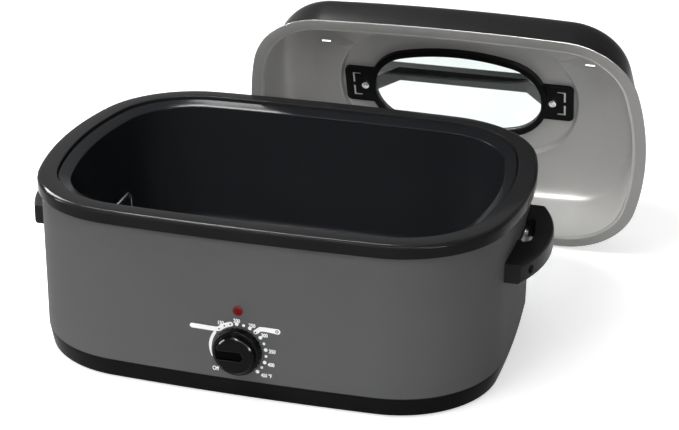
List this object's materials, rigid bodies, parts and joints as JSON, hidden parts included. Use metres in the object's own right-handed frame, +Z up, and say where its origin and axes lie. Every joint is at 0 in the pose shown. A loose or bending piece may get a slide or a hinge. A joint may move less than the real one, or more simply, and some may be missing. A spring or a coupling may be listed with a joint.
{
  "type": "electric roaster oven",
  "caption": "Oval electric roaster oven with lift-out pan and rack, thermostat knob, indicator light, side handles, and a loose domed lid with an oval window standing behind it.",
  "frame": {"origin": "on the resting plane under the centre of the cooking well", "axes": "+X to the right along the long side, -Y towards the control knob, +Z up"},
  "size_m": [0.672, 0.5644, 0.3176],
  "materials": {
    "housing_paint": "satin grey paint",
    "rim_enamel": "gloss charcoal enamel",
    "pan_enamel": "gloss charcoal enamel, non-stick",
    "lid_enamel": "charcoal enamel outside, light satin grey inside",
    "base_plastic": "matt moulded",
    "handle_plastic": "matt moulded phenolic",
    "knob_plastic": "semi-gloss moulded",
    "red_lens": "translucent red",
    "bare_steel": "plain rolled",
    "shaft_metal": "turned",
    "bright_screw": "bright plated",
    "rack_chrome": "bright plated wire",
    "element_metal": "foil faced",
    "insulation_wool": "mineral wool",
    "thermostat_case": "pressed",
    "terminal_plastic": "moulded",
    "soft_rubber": "matt",
    "window_glass": "clear tempered"
  },
  "bodies": {
    "oven": {"base_ring": "base_plastic", "bottom_plate": "bare_steel", "base_screws": "bright_screw", "foot_front_left": "soft_rubber", "foot_front_right": "soft_rubber", "foot_rear_left": "soft_rubber", "foot_rear_right": "soft_rubber", "heat_shield": "bare_steel", "terminal_block": "terminal_plastic", "outer_housing": "housing_paint", "top_collar": "rim_enamel", "inner_liner": "rim_enamel", "heating_band": "element_metal", "insulation_wrap": "insulation_wool", "thermostat_bracket": "bare_steel", "thermostat": "thermostat_case", "indicator_lens": "red_lens", "indicator_lamp": "terminal_plastic", "cord_gland": "soft_rubber", "handle_right": "handle_plastic", "handle_left": "handle_plastic", "handle_bracket_right": "bare_steel", "handle_bracket_left": "bare_steel", "handle_strap_right": "bare_steel", "handle_strap_left": "bare_steel", "handle_screws": "bright_screw"},
    "knob": {"knob": "knob_plastic", "knob_shaft": "shaft_metal", "knob_clip": "bare_steel"},
    "pan": {"roasting_pan": "pan_enamel"},
    "rack": {"rack_frame": "rack_chrome", "rack_rods": "rack_chrome", "rack_bail_right": "rack_chrome", "rack_bail_left": "rack_chrome"},
    "lid": {"lid_shell": "lid_enamel", "window_gasket": "soft_rubber", "window_glass": "window_glass", "window_frame_inner": "handle_plastic", "window_frame_outer": "handle_plastic", "lid_handle": "handle_plastic", "lid_screws": "bright_screw"}
  },
  "joints": [
    {"name": "knob_turn", "type": "hinge", "parent": "oven", "child": "knob", "pos_m": [0, -0.1915, 0.0595], "axis": [0, 1, 0], "range_deg": [-42.4, 227.6]},
    {"name": "pan_lift", "type": "slide", "parent": "oven", "child": "pan", "axis": [0, 0, 1], "range_m": [0, 0.2]},
    {"name": "rack_lift", "type": "slide", "parent": "pan", "child": "rack", "axis": [0, 0, 1], "range_m": [0, 0.2]},
    {"name": "lid_lift", "type": "slide", "parent": "oven", "child": "lid", "axis": [0, 0, 1], "range_m": [0, 0.25]}
  ]
}
